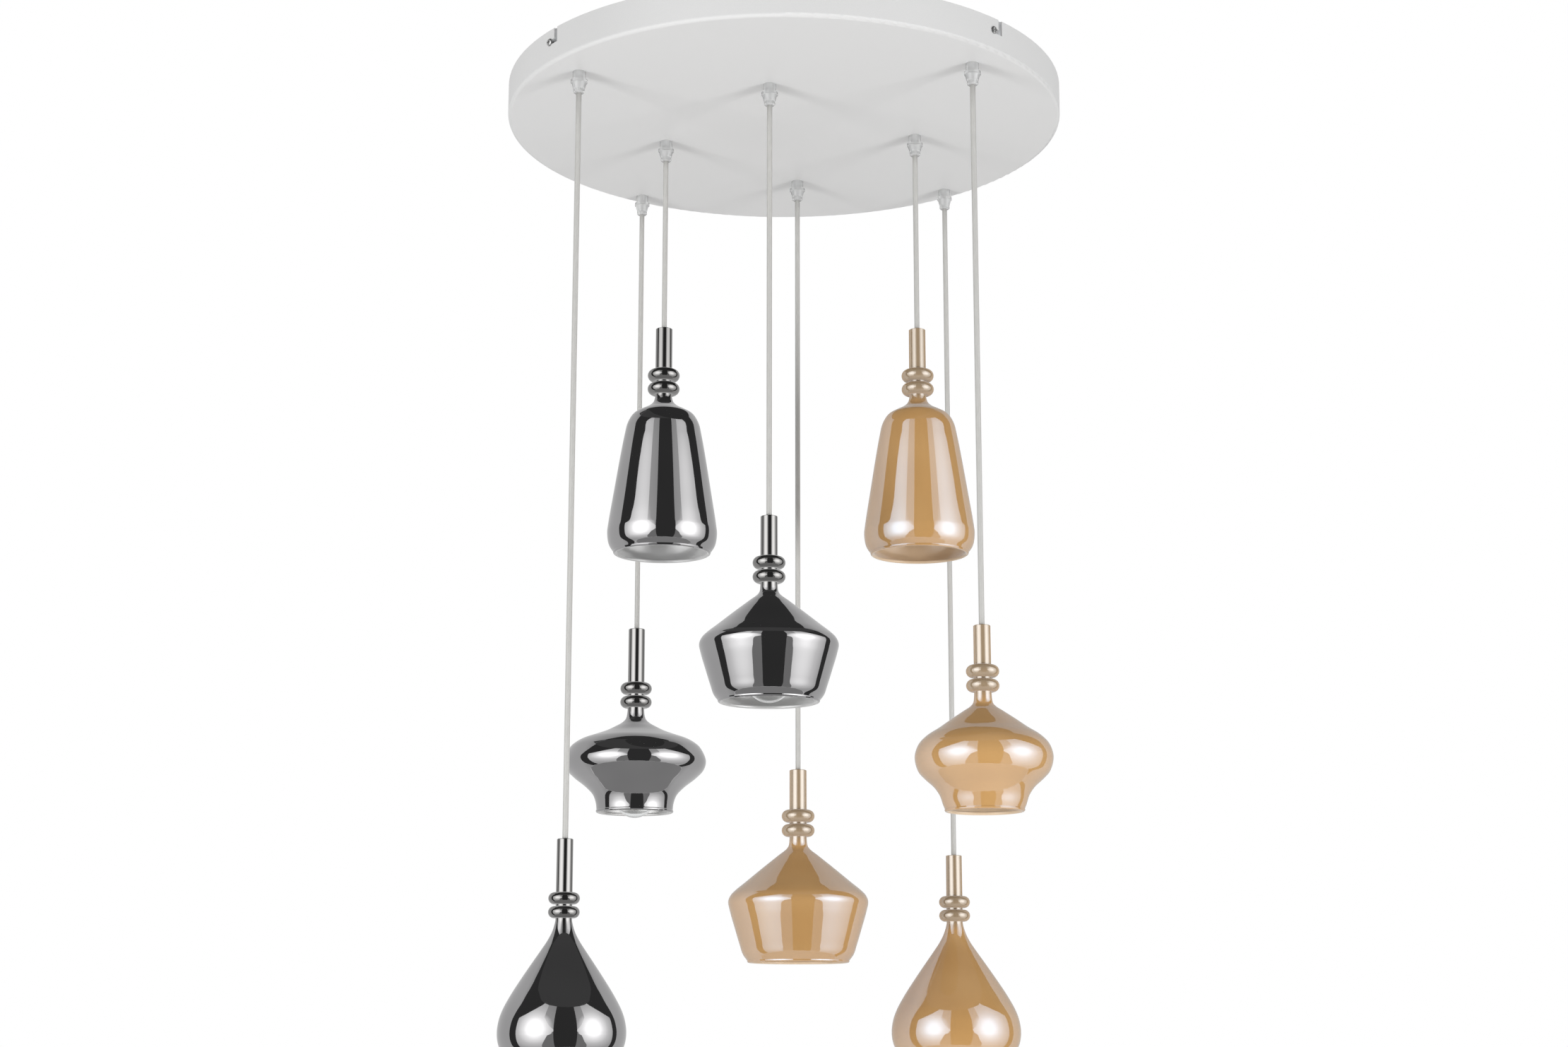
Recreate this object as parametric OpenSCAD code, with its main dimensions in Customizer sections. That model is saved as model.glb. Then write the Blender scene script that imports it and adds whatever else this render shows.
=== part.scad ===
/* [Canopy] */
// Outer diameter of the round ceiling canopy
canopy_d = 580; // [560:2:700]
// Height of the canopy from the ceiling to its flat face
canopy_h = 35; // [34:1:60]
// Sheet thickness of the canopy
canopy_sheet = 1.5; // [1:0.1:2.5]
// Outer radius of the bend between side wall and flat face
canopy_bend = 3.5; // [2.5:0.5:6]
// Angle of the first pair of side slots, seen from above
slot_pair_a_angle = 39; // [30:1:50]
// Angle of the second pair of side slots, seen from above
slot_pair_b_angle = 137; // [125:1:145]
// Width of the open mouth of a side slot
slot_mouth_w = 5; // [4.8:0.1:6]
// Depth of the side slot below the ceiling
slot_depth = 15.5; // [14:0.5:18]
// Sideways travel of the canopy on its side screws
slot_turn = 10; // [8:0.5:14]

/* [Mounting bracket] */
// Width of the two crossing bracket bars
bar_w = 30; // [26:1:36]
// Thickness of the bracket steel
bar_t = 2.5; // [2:0.1:3]
// Length of the end tabs that are bent down
tab_h = 24; // [21:1:28]
// Gap between a tab and the inside of the canopy wall
tab_gap = 0.3; // [0.3:0.1:0.6]
// Diameter of the supply cable hole in the middle of the bracket
inlet_d = 20; // [16:1:24]
// Diameter of the circle of ceiling screw holes
ceiling_pcd = 120; // [96:2:160]
// Diameter of each ceiling screw hole
ceiling_hole_d = 5.2; // [4.5:0.1:6.5]

/* [Side screws] */
// Thread diameter of the side screws
side_screw_d = 4; // [3.5:0.1:4.4]
// Head diameter of the side screws
side_head_d = 7.5; // [6.5:0.1:9]
// Head height of the side screws
side_head_h = 2; // [1.5:0.1:3]
// Length of the side screws under the head
side_screw_l = 9; // [8:0.5:12]
// Depth of the side screws below the ceiling
side_screw_drop = 13; // [12:0.1:13.1]

/* [Junction box] */
// Outer diameter of the round junction box
box_d = 72; // [68:1:84]
// Height of the junction box with its lid
box_h = 21; // [19:0.5:22]
// Wall thickness of the junction box
box_wall = 2; // [1.6:0.1:2.6]
// Depth of the cable run below the ceiling
run_drop = 11; // [10:0.5:12]
// Length of a terminal strip
strip_l = 44; // [36:1:46]
// Width of a terminal strip
strip_w = 13; // [11:0.5:14]
// Height of a terminal strip
strip_h = 11; // [9:0.5:12]

/* [Cord grips] */
// Diameter of the grip's threaded stub through the canopy
stub_d = 10; // [9.5:0.1:10.8]
// Height of the stub above the canopy sheet, inside
stub_h = 9; // [8:0.5:11]
// Diameter of the cylinder against the canopy
grip_neck_d = 13; // [12.6:0.1:15]
// Height of the cylinder against the canopy
grip_neck_h = 8.5; // [6:0.5:11]
// Diameter of the grip's flange
grip_flange_d = 16.6; // [16:0.1:19]
// Height of the grip's flange
grip_flange_h = 3; // [2:0.5:4]
// Top diameter of the tapered grip nut
grip_cone_d = 15.2; // [14.8:0.1:15.8]
// Height of the tapered part of the nut
grip_cone_h = 7; // [6:0.5:9]
// Diameter of the collar at the nut's lower end
grip_collar_d = 11.2; // [10.6:0.1:12.4]
// Height of the collar at the nut's lower end
grip_collar_h = 4; // [3:0.5:6]
// Length of the grip's male thread inside the nut
grip_thread_h = 5.5; // [5:0.5:6]
// Width across the flats of the lock nuts inside the canopy
lock_nut_w = 14; // [13.5:0.1:15]
// Thickness of the lock nuts
lock_nut_h = 4; // [3:0.5:5]

/* [Cable] */
// Outer diameter of the clear cable
cable_d = 5.4; // [5:0.1:5.6]
// Radial clearance of the cable in a bore
cable_clear = 0.1; // [0.05:0.01:0.2]
// Bend radius of the cable inside the canopy
cable_bend = 11; // [10:0.5:12]

/* [Earth lead] */
// Diameter of the earth lead
earth_d = 3; // [2.4:0.1:3.4]
// Distance of the earth stud from the canopy's middle
earth_at = 90; // [80:1:100]
// Angle of the earth stud, seen from above
earth_angle = 205; // [195:1:225]
// Thread diameter of the earth stud
earth_stud_d = 4; // [3:0.1:5]

/* [Glass] */
// Wall thickness of the blown glass
glass_wall = 2; // [1.6:0.1:2.2]
// Diameter of the glass tube above a bell shade
tube_d = 17.6; // [17:0.1:19]
// Reach of a glass ring beyond the tube of a bell shade
ring_reach = 8; // [6:0.1:9]
// Thickness of a glass ring on a bell shade
ring_t = 12.8; // [10:0.1:13.6]
// Distance between the two glass rings of a bell shade
ring_pitch = 14.6; // [13.8:0.1:17]
// Height of the lower glass ring above the neck of a bell shade
ring_up = 8.4; // [7:0.1:10]
// Thickness of the fire-polished rim of a shade
rim_t = 3.6; // [2.6:0.1:4.4]

/* [Lamp holders] */
// Outer diameter of the hollow threaded stem
stem_d = 10; // [9:0.1:10.4]
// Height of the threaded stem above the glass neck
stem_up = 12; // [8:0.5:16]
// Depth of the rubber seat below the glass neck
seat_drop = 6; // [5:0.1:7]
// Thickness of the rubber seat
seat_t = 3; // [2:0.1:4]
// Clearance between the rubber seat and the glass
seat_clear = 0.2; // [0.1:0.05:0.3]
// Thickness of the collar under the rubber seat
collar_t = 1.5; // [1:0.1:2]
// Height of the lamp holder
holder_h = 41; // [40:1:50]
// Diameter of the holder's cap
holder_cap_d = 21; // [18:0.5:23]
// Height of the holder's cap
holder_cap_h = 12; // [9:0.5:14]
// Diameter of the holder's body
holder_d = 26; // [24:0.5:28]
// Depth of the lamp socket in the holder
socket_h = 25; // [24:0.5:27]

/* [Bulbs] */
// Diameter of the round bulb
bulb_d = 45; // [38:1:48]
// Length of the bulb glass below the holder
bulb_h = 50; // [48:1:56]
// Wall thickness of the bulb glass
bulb_wall = 0.9; // [0.7:0.1:1.2]
// Diameter of the bulb's screw cap
bulb_cap_d = 13.6; // [12.5:0.1:14]
// Height of the bulb's screw cap
bulb_cap_h = 21; // [19:0.5:22]
// Diameter of each filament stick
filament_d = 1.8; // [1.2:0.1:2.4]
// Length of each filament stick
filament_h = 26; // [22:1:28]
// Distance between opposite filament sticks at their lower ends
filament_spread = 9; // [8:0.5:12]

/* [Smoke drop] */
// Place across the canopy
smoke_drop_x = -204; // [-206:1:-200]
// Place along the canopy
smoke_drop_y = -153; // [-156:1:-148]
// Depth of the glass neck below the ceiling
smoke_drop_neck = 870; // [780:5:1100]
// Largest diameter of the glass
smoke_drop_d = 118.5; // [110:0.5:140]
// Height of the glass from neck to rim
smoke_drop_body = 137; // [130:1:160]
// Height of the glass tube above the neck
smoke_drop_tube = 75; // [60:1:100]
// Size of tube and rings against those of a bell shade
smoke_drop_blow = 0.87; // [0.87:0.01:1.1]
// Extra length of the threaded stem inside the glass
smoke_drop_stem = 6; // [0:1:20]

/* [Amber onion] */
// Place across the canopy
amber_onion_x = 186; // [180:1:190]
// Place along the canopy
amber_onion_y = -174; // [-178:1:-168]
// Depth of the glass neck below the ceiling
amber_onion_neck = 662; // [500:5:1000]
// Largest diameter of the glass
amber_onion_d = 129; // [120:0.5:150]
// Height of the glass from neck to rim
amber_onion_body = 108.5; // [104:1:130]
// Height of the glass tube above the neck
amber_onion_tube = 65; // [55:1:100]
// Size of tube and rings against those of a bell shade
amber_onion_blow = 0.93; // [0.88:0.01:1.1]
// Extra length of the threaded stem inside the glass
amber_onion_stem = 0; // [0:1:20]

/* [Smoke diamond] */
// Place across the canopy
smoke_diamond_x = -14.5; // [-20:0.5:-8]
// Place along the canopy
smoke_diamond_y = -120; // [-126:1:-114]
// Depth of the glass neck below the ceiling
smoke_diamond_neck = 548.5; // [450:0.5:1000]
// Largest diameter of the glass
smoke_diamond_d = 134.5; // [126:0.5:150]
// Height of the glass from neck to rim
smoke_diamond_body = 113; // [108:1:130]
// Height of the glass tube above the neck
smoke_diamond_tube = 68; // [56:1:100]
// Size of tube and rings against those of a bell shade
smoke_diamond_blow = 0.95; // [0.88:0.01:1.1]
// Extra length of the threaded stem inside the glass
smoke_diamond_stem = 11; // [0:1:20]

/* [Amber bell] */
// Place across the canopy
amber_bell_x = 139.5; // [134:0.5:144]
// Place along the canopy
amber_bell_y = 24; // [18:1:30]
// Depth of the glass neck below the ceiling
amber_bell_neck = 323; // [280:1:600]
// Largest diameter of the glass
amber_bell_d = 114; // [106:0.5:124]
// Height of the glass from neck to rim
amber_bell_body = 166; // [150:1:190]
// Height of the glass tube above the neck
amber_bell_tube = 73; // [56:1:90]
// Size of tube and rings against those of a bell shade
amber_bell_blow = 1; // [0.9:0.01:1.1]
// Extra length of the threaded stem inside the glass
amber_bell_stem = 4; // [0:1:20]

/* [Smoke bell] */
// Place across the canopy
smoke_bell_x = -126.5; // [-132:0.5:-122]
// Place along the canopy
smoke_bell_y = 41; // [36:1:46]
// Depth of the glass neck below the ceiling
smoke_bell_neck = 318; // [280:1:600]
// Largest diameter of the glass
smoke_bell_d = 114; // [106:0.5:124]
// Height of the glass from neck to rim
smoke_bell_body = 167; // [150:1:190]
// Height of the glass tube above the neck
smoke_bell_tube = 74; // [56:1:90]
// Size of tube and rings against those of a bell shade
smoke_bell_blow = 1; // [0.9:0.01:1.1]
// Extra length of the threaded stem inside the glass
smoke_bell_stem = 4; // [0:1:20]

/* [Amber diamond] */
// Place across the canopy
amber_diamond_x = 15; // [10:1:20]
// Place along the canopy
amber_diamond_y = 166; // [160:1:172]
// Depth of the glass neck below the ceiling
amber_diamond_neck = 769.5; // [600:0.5:1000]
// Largest diameter of the glass
amber_diamond_d = 148; // [138:0.5:154]
// Height of the glass from neck to rim
amber_diamond_body = 128.5; // [118:0.5:140]
// Height of the glass tube above the neck
amber_diamond_tube = 73; // [56:1:100]
// Size of tube and rings against those of a bell shade
amber_diamond_blow = 1.04; // [0.9:0.01:1.1]
// Extra length of the threaded stem inside the glass
amber_diamond_stem = 17; // [0:1:20]

/* [Amber drop] */
// Place across the canopy
amber_drop_x = 182; // [176:1:186]
// Place along the canopy
amber_drop_y = 195; // [188:1:198]
// Depth of the glass neck below the ceiling
amber_drop_neck = 857; // [700:1:1100]
// Largest diameter of the glass
amber_drop_d = 136.5; // [128:0.5:144]
// Height of the glass from neck to rim
amber_drop_body = 152; // [140:1:170]
// Height of the glass tube above the neck
amber_drop_tube = 72; // [60:1:100]
// Size of tube and rings against those of a bell shade
amber_drop_blow = 0.98; // [0.9:0.01:1.1]
// Extra length of the threaded stem inside the glass
amber_drop_stem = 6; // [0:1:20]

/* [Smoke onion] */
// Place across the canopy
smoke_onion_x = -162; // [-166:1:-156]
// Place along the canopy
smoke_onion_y = 215; // [210:1:218]
// Depth of the glass neck below the ceiling
smoke_onion_neck = 625.5; // [500:0.5:1000]
// Largest diameter of the glass
smoke_onion_d = 154; // [142:0.5:160]
// Height of the glass from neck to rim
smoke_onion_body = 110.5; // [104:0.5:130]
// Height of the glass tube above the neck
smoke_onion_tube = 89.5; // [60:0.5:110]
// Size of tube and rings against those of a bell shade
smoke_onion_blow = 1.02; // [0.9:0.01:1.1]
// Extra length of the threaded stem inside the glass
smoke_onion_stem = 12; // [0:1:20]

/* [Hidden] */
$fn = 96;

PENDANTS = [
    "smoke_drop", "amber_onion", "smoke_diamond", "amber_bell",
    "smoke_bell", "amber_diamond", "amber_drop", "smoke_onion"
];
PIECES = ["cable", "shade", "seat", "stem", "holder", "bulb"];
CEILING_NODES = [
    "canopy", "mounting_bracket", "side_screws", "junction_box", "junction_lid", "terminal_strips",
    "cord_grip_bases", "cord_grip_nuts", "lock_nuts", "cable_tails", "earth_lead", "earth_stud"
];

// Each pendant: place x, place y, neck depth, largest diameter, body height, tube height, blow, stem
SIZES = [
    [smoke_drop_x, smoke_drop_y, smoke_drop_neck, smoke_drop_d, smoke_drop_body,
        smoke_drop_tube, smoke_drop_blow, smoke_drop_stem],
    [amber_onion_x, amber_onion_y, amber_onion_neck, amber_onion_d, amber_onion_body,
        amber_onion_tube, amber_onion_blow, amber_onion_stem],
    [smoke_diamond_x, smoke_diamond_y, smoke_diamond_neck, smoke_diamond_d, smoke_diamond_body,
        smoke_diamond_tube, smoke_diamond_blow, smoke_diamond_stem],
    [amber_bell_x, amber_bell_y, amber_bell_neck, amber_bell_d, amber_bell_body,
        amber_bell_tube, amber_bell_blow, amber_bell_stem],
    [smoke_bell_x, smoke_bell_y, smoke_bell_neck, smoke_bell_d, smoke_bell_body,
        smoke_bell_tube, smoke_bell_blow, smoke_bell_stem],
    [amber_diamond_x, amber_diamond_y, amber_diamond_neck, amber_diamond_d, amber_diamond_body,
        amber_diamond_tube, amber_diamond_blow, amber_diamond_stem],
    [amber_drop_x, amber_drop_y, amber_drop_neck, amber_drop_d, amber_drop_body,
        amber_drop_tube, amber_drop_blow, amber_drop_stem],
    [smoke_onion_x, smoke_onion_y, smoke_onion_neck, smoke_onion_d, smoke_onion_body,
        smoke_onion_tube, smoke_onion_blow, smoke_onion_stem]
];

// Outlines of the blown bodies: share of the largest radius, share of the height below the neck
DROP = [
    [0.172, 0.07], [0.24, 0.13], [0.33, 0.19], [0.46, 0.272], [0.637, 0.386], [0.804, 0.5],
    [0.926, 0.6], [0.98, 0.672], [1, 0.757], [0.962, 0.84], [0.83, 0.93], [0.68, 1]
];
ONION_TALL = [
    [0.145, 0.078], [0.191, 0.11], [0.283, 0.146], [0.469, 0.22], [0.644, 0.293], [0.834, 0.366],
    [0.947, 0.439], [1, 0.545], [0.95, 0.665], [0.857, 0.729], [0.724, 0.802], [0.643, 0.874],
    [0.6, 0.95], [0.565, 1]
];
DIAMOND = [
    [0.145, 0.068], [0.29, 0.139], [0.45, 0.212], [0.602, 0.283], [0.752, 0.354], [0.904, 0.425],
    [0.967, 0.464], [1, 0.513], [0.978, 0.585], [0.908, 0.725], [0.834, 0.865], [0.79, 0.94],
    [0.715, 1]
];
BELL = [
    [0.188, 0.036], [0.279, 0.064], [0.435, 0.092], [0.558, 0.119], [0.654, 0.174], [0.711, 0.257],
    [0.782, 0.392], [0.886, 0.61], [0.986, 0.826], [1, 0.88], [0.965, 0.95], [0.87, 1]
];
ONION_LOW = [
    [0.138, 0.084], [0.195, 0.127], [0.297, 0.168], [0.422, 0.211], [0.588, 0.253], [0.758, 0.295],
    [0.86, 0.337], [0.923, 0.379], [1, 0.5], [0.97, 0.588], [0.858, 0.672], [0.705, 0.755],
    [0.591, 0.839], [0.548, 0.92], [0.535, 1]
];
OUTLINES = [DROP, ONION_TALL, DIAMOND, BELL, BELL, DIAMOND, DROP, ONION_LOW];

SMOKE = [0.42, 0.41, 0.42];
AMBER = [0.76, 0.62, 0.46];
TINTS = [SMOKE, AMBER, SMOKE, AMBER, SMOKE, AMBER, AMBER, SMOKE];
CANOPY_WHITE = [0.85, 0.85, 0.85];
IVORY = [0.93, 0.9, 0.86];
CLEAR_PLASTIC = [0.86, 0.87, 0.87];
CABLE_GREY = [0.76, 0.76, 0.74];
STEEL = [0.68, 0.69, 0.7];
SEAT_GREY = [0.35, 0.34, 0.33];
BULB_CLEAR = [0.88, 0.9, 0.9];
FILAMENT_YELLOW = [0.92, 0.68, 0.3];
EARTH_GREEN = [0.35, 0.62, 0.25];

canopy_r = canopy_d / 2;
canopy_in = canopy_r - canopy_sheet;
canopy_floor = -canopy_h + canopy_sheet;
slot_leg_h = side_screw_d + 0.8;
cable_r = cable_d / 2;
cable_bore_r = cable_r + cable_clear;
stub_clear = 0.1;
thread_clear = 0.1;
nut_top = -canopy_h - grip_neck_h - grip_flange_h;
grip_exit = nut_top - grip_cone_h - grip_collar_h;
stub_top = canopy_floor + stub_h;
box_top = -bar_t;
lid_t = 1.5;
box_floor = box_top - box_h;
tail_end = box_d / 2 - box_wall - 2;
run_z = -run_drop;
cut = 1;

// The places in SIZES are those under a canopy of 290 mm radius, and spread or close up with it
function place(i) = [SIZES[i][0], SIZES[i][1], 0] / 290 * canopy_r;
function neck_z(i) = -SIZES[i][2];
function blow(i) = SIZES[i][6];
function tube_r(i) = tube_d / 2 * blow(i);
function tube_in(i) = tube_r(i) - glass_wall;

// Centripetal curve through p1 and p2, with p0 and p3 as its neighbours, at share t
function mix(a, b, ta, tb, t) = (tb - t) / (tb - ta) * a + (t - ta) / (tb - ta) * b;
function curve(p0, p1, p2, p3, share) =
    let (
        t1 = sqrt(norm(p1 - p0)),
        t2 = t1 + sqrt(norm(p2 - p1)),
        t3 = t2 + sqrt(norm(p3 - p2)),
        t = t1 + share * (t2 - t1),
        a1 = mix(p0, p1, 0, t1, t),
        a2 = mix(p1, p2, t1, t2, t),
        a3 = mix(p2, p3, t2, t3, t),
        b1 = mix(a1, a2, 0, t2, t),
        b2 = mix(a2, a3, t1, t3, t)
    ) mix(b1, b2, t1, t2, t);
curve_steps = 4;
function smooth(p) = [
    for (i = [1 : len(p) - 3], s = [0 : curve_steps - 1])
        curve(p[i - 1], p[i], p[i + 1], p[i + 2], s / curve_steps),
    p[len(p) - 2]
];

// Outer line of a blown body from its neck to its rim, as points of radius and height
neck_run = 4;
function body_line(i) =
    let (
        r = SIZES[i][3] / 2,
        h = SIZES[i][4],
        t = tube_r(i),
        k = [for (q = OUTLINES[i]) [max(q[0] * r, t + 0.2), -q[1] * h]],
        last = k[len(k) - 1]
    ) smooth(concat([[t, neck_run], [t, 0]], k, [2 * last - k[len(k) - 2]]));
function inward(p, i) =
    let (
        a = p[max(i - 1, 0)],
        b = p[min(i + 1, len(p) - 1)],
        d = (b - a) / norm(b - a)
    ) i == 0 ? [-1, 0] : [d[1], -d[0]];
function inner_line(p) = [for (i = [0 : len(p) - 1]) p[i] + glass_wall * inward(p, i)];
function inner_radius(i, z) =
    lookup(z, [for (p = inner_line(body_line(i))) [p[1], p[0]]]);

function seat_r(i) = inner_radius(i, -seat_drop) - seat_clear;
// The holder starts where the glass is wide enough for its cap, or lower on a longer stem
cap_room = 1.2;
function cap_z(i) =
    let (line = inner_line(body_line(i)), half = len(line) / 2)
    min([for (n = [0 : half]) if (line[n][0] <= holder_cap_d / 2 + cap_room) line[n][1]])
        - cap_room - SIZES[i][7];

module place_on(i) { translate(place(i)) children(); }
module hang(i) { translate(place(i) + [0, 0, neck_z(i)]) children(); }
module ring_cut(r, z_low, z_high) { translate([0, 0, z_low]) cylinder(r = r, h = z_high - z_low); }
module turned(r_out, r_in, z_low, z_high) {
    difference() {
        ring_cut(r_out, z_low, z_high);
        ring_cut(r_in, z_low - cut, z_high + cut);
    }
}

SLOTS = [slot_pair_a_angle, slot_pair_b_angle, slot_pair_a_angle + 180, slot_pair_b_angle + 180];
screw_turn = slot_turn / canopy_r * 180 / PI;

module canopy_slot(angle) {
    wall_cut = canopy_sheet * 4;
    rotate(angle) translate([canopy_r - wall_cut, -slot_mouth_w / 2, -slot_depth])
        cube([wall_cut * 2, slot_mouth_w, slot_depth + cut]);
    leg = slot_turn + slot_leg_h / 2;
    rotate(angle) translate([canopy_r - wall_cut, -leg, -slot_depth])
        cube([wall_cut * 2, leg, slot_leg_h]);
}

module canopy() {
    bend_in = canopy_bend - canopy_sheet;
    color(CANOPY_WHITE) difference() {
        rotate_extrude($fn = 180) difference() {
            union() {
                translate([0, -canopy_h]) square([canopy_r - canopy_bend, canopy_h]);
                translate([0, -canopy_h + canopy_bend]) square([canopy_r, canopy_h - canopy_bend]);
                translate([canopy_r - canopy_bend, -canopy_h + canopy_bend]) circle(canopy_bend);
            }
            translate([-cut, canopy_floor]) square([canopy_in - bend_in + cut, canopy_h]);
            translate([-cut, canopy_floor + bend_in]) square([canopy_in + cut, canopy_h]);
            translate([canopy_in - bend_in, canopy_floor + bend_in]) circle(bend_in);
        }
        for (i = [0 : len(PENDANTS) - 1])
            place_on(i) ring_cut(stub_d / 2 + stub_clear, -canopy_h - cut, canopy_floor + cut);
        for (angle = SLOTS) canopy_slot(angle);
    }
}

tab_out = sqrt(pow(canopy_in - tab_gap, 2) - pow(bar_w / 2, 2));
screw_hole_clear = 0.05;
module bracket_bar(angle) {
    rotate(angle) {
        translate([-tab_out, -bar_w / 2, -bar_t]) cube([tab_out * 2, bar_w, bar_t]);
        for (side = [0, 180]) rotate(side) translate([tab_out - bar_t, -bar_w / 2, -tab_h])
            cube([bar_t, bar_w, tab_h]);
    }
}

// The ceiling holes stand a quarter turn apart, and each lies on one of the four arms
first_hole = (slot_pair_a_angle + slot_pair_b_angle) / 2 - screw_turn - 45;
module mounting_bracket() {
    color(STEEL) difference() {
        union() {
            bracket_bar(slot_pair_a_angle - screw_turn);
            bracket_bar(slot_pair_b_angle - screw_turn);
        }
        ring_cut(inlet_d / 2, -bar_t - cut, cut);
        for (turn = [0 : 90 : 270]) rotate(first_hole + turn) translate([ceiling_pcd / 2, 0, 0])
            ring_cut(ceiling_hole_d / 2, -bar_t - cut, cut);
        for (angle = SLOTS) rotate(angle - screw_turn)
            translate([tab_out - bar_t * 2, 0, -side_screw_drop]) rotate([0, 90, 0])
                cylinder(r = side_screw_d / 2 + screw_hole_clear, h = bar_t * 3);
    }
}

module side_screws() {
    head_round = 0.8;
    drive_w = 1;
    drive_l = side_head_d * 0.66;
    color(STEEL) for (angle = SLOTS) rotate(angle - screw_turn)
        translate([canopy_r, 0, -side_screw_drop]) rotate([0, 90, 0]) {
            translate([0, 0, -side_screw_l]) cylinder(d = side_screw_d, h = side_screw_l + cut);
            difference() {
                union() {
                    cylinder(d = side_head_d, h = side_head_h - head_round);
                    translate([0, 0, side_head_h - head_round])
                        cylinder(d1 = side_head_d, d2 = side_head_d - head_round * 2, h = head_round);
                }
                for (turn = [0, 90]) rotate(turn)
                    translate([-drive_l / 2, -drive_w / 2, side_head_h / 2])
                        cube([drive_l, drive_w, side_head_h]);
            }
        }
}

function cable_angle(i) = atan2(SIZES[i][1], SIZES[i][0]);
function cable_reach(i) = norm(place(i));
entry_clear = 0.2;

module junction_box() {
    color(CLEAR_PLASTIC) difference() {
        ring_cut(box_d / 2, box_floor, box_top - lid_t);
        ring_cut(box_d / 2 - box_wall, box_floor + box_wall, box_top);
        for (i = [0 : len(PENDANTS) - 1]) rotate(cable_angle(i)) translate([0, 0, run_z])
            rotate([0, 90, 0]) cylinder(r = cable_r + entry_clear, h = box_d);
        rotate(earth_angle) translate([0, 0, run_z])
            rotate([0, 90, 0]) cylinder(r = earth_d / 2 + entry_clear, h = box_d);
    }
}

module junction_lid() {
    lip = 1.5;
    lip_gap = 0.2;
    inlet_lap = 1;
    color(CLEAR_PLASTIC) {
        turned(box_d / 2, inlet_d / 2 - inlet_lap, box_top - lid_t, box_top);
        turned(box_d / 2 - box_wall - lip_gap, box_d / 2 - box_wall - lip_gap - lip,
            box_top - lid_t * 2, box_top - lid_t);
    }
}

module terminal_strips() {
    poles = 4;
    bore_d = 4;
    wire_z = strip_h * 0.4;
    screw_z = strip_h * 0.7;
    strip_y = strip_w / 2 + 2;
    color(IVORY) for (side = [-1, 1])
        translate([0, side * strip_y, box_floor + box_wall]) difference() {
            translate([-strip_l / 2, -strip_w / 2, 0]) cube([strip_l, strip_w, strip_h]);
            for (p = [0 : poles - 1]) translate([(p - (poles - 1) / 2) * strip_l / poles, 0, 0]) {
                translate([0, strip_w, wire_z]) rotate([90, 0, 0])
                    cylinder(d = bore_d, h = strip_w * 2);
                translate([0, 0, screw_z]) cylinder(d = bore_d, h = strip_h);
            }
        }
}

module cord_grip_bases() {
    neck_low = -canopy_h - grip_neck_h;
    color(CLEAR_PLASTIC) for (i = [0 : len(PENDANTS) - 1]) place_on(i) difference() {
        union() {
            ring_cut(stub_d / 2, -canopy_h - cut, stub_top);
            ring_cut(grip_neck_d / 2, neck_low, -canopy_h);
            ring_cut(grip_flange_d / 2, nut_top, neck_low);
            ring_cut(stub_d / 2, nut_top - grip_thread_h, nut_top);
        }
        ring_cut(cable_bore_r, grip_exit, stub_top + cut);
    }
}

module cord_grip_nuts() {
    cone_low = nut_top - grip_cone_h;
    lip = 1;
    color(CLEAR_PLASTIC) for (i = [0 : len(PENDANTS) - 1]) place_on(i) difference() {
        union() {
            translate([0, 0, cone_low])
                cylinder(d1 = grip_collar_d, d2 = grip_cone_d, h = grip_cone_h);
            ring_cut(grip_collar_d / 2, grip_exit + lip, cone_low);
            translate([0, 0, grip_exit])
                cylinder(d1 = grip_collar_d - lip * 2, d2 = grip_collar_d, h = lip);
        }
        ring_cut(stub_d / 2 + thread_clear, nut_top - grip_thread_h - thread_clear, nut_top + cut);
        ring_cut(cable_bore_r, grip_exit - cut, nut_top);
    }
}

module lock_nuts() {
    color(CLEAR_PLASTIC) for (i = [0 : len(PENDANTS) - 1]) place_on(i) translate([0, 0, canopy_floor])
        difference() {
            rotate(cable_angle(i)) cylinder(d = lock_nut_w / cos(30), h = lock_nut_h, $fn = 6);
            ring_cut(stub_d / 2 + thread_clear / 2, -cut, lock_nut_h + cut);
        }
}

// A lead that rises, bends inwards and runs level towards the canopy's middle
module lead(r, bend, reach, low, level, end) {
    ring_cut(r, low, level - bend);
    translate([-bend, 0, level - bend]) rotate([90, 0, 0])
        rotate_extrude(angle = 90) translate([bend, 0]) circle(r);
    translate([end - reach, 0, level]) rotate([0, 90, 0]) cylinder(r = r, h = reach - bend - end);
}

module cable_tails() {
    color(CABLE_GREY) for (i = [0 : len(PENDANTS) - 1])
        place_on(i) rotate(cable_angle(i))
            lead(cable_r, cable_bend, cable_reach(i), grip_exit, run_z, tail_end);
}

lug_t = 1;
lug_w = 8;
stud_foot_h = 2;
module earth_lead() {
    lug_z = canopy_floor + stud_foot_h;
    lug_back = lug_w;
    color(EARTH_GREEN) rotate(earth_angle) translate([earth_at, 0, 0]) {
        translate([-lug_back, 0, 0])
            lead(earth_d / 2, cable_bend / 2, earth_at - lug_back, lug_z + lug_t / 2, run_z, tail_end);
        difference() {
            union() {
                translate([-lug_back, -lug_w / 2, lug_z]) cube([lug_back, lug_w, lug_t]);
                ring_cut(lug_w / 2, lug_z, lug_z + lug_t);
            }
            ring_cut(earth_stud_d / 2 + thread_clear, lug_z - cut, lug_z + lug_t + cut);
        }
    }
}

module earth_stud() {
    stud_l = 9;
    nut_h = 3;
    color(STEEL) rotate(earth_angle) translate([earth_at, 0, canopy_floor]) {
        ring_cut(earth_stud_d, 0, stud_foot_h);
        ring_cut(earth_stud_d / 2, 0, stud_l);
        translate([0, 0, stud_foot_h + lug_t]) cylinder(d = earth_stud_d * 2, h = nut_h, $fn = 6);
    }
}

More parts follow.
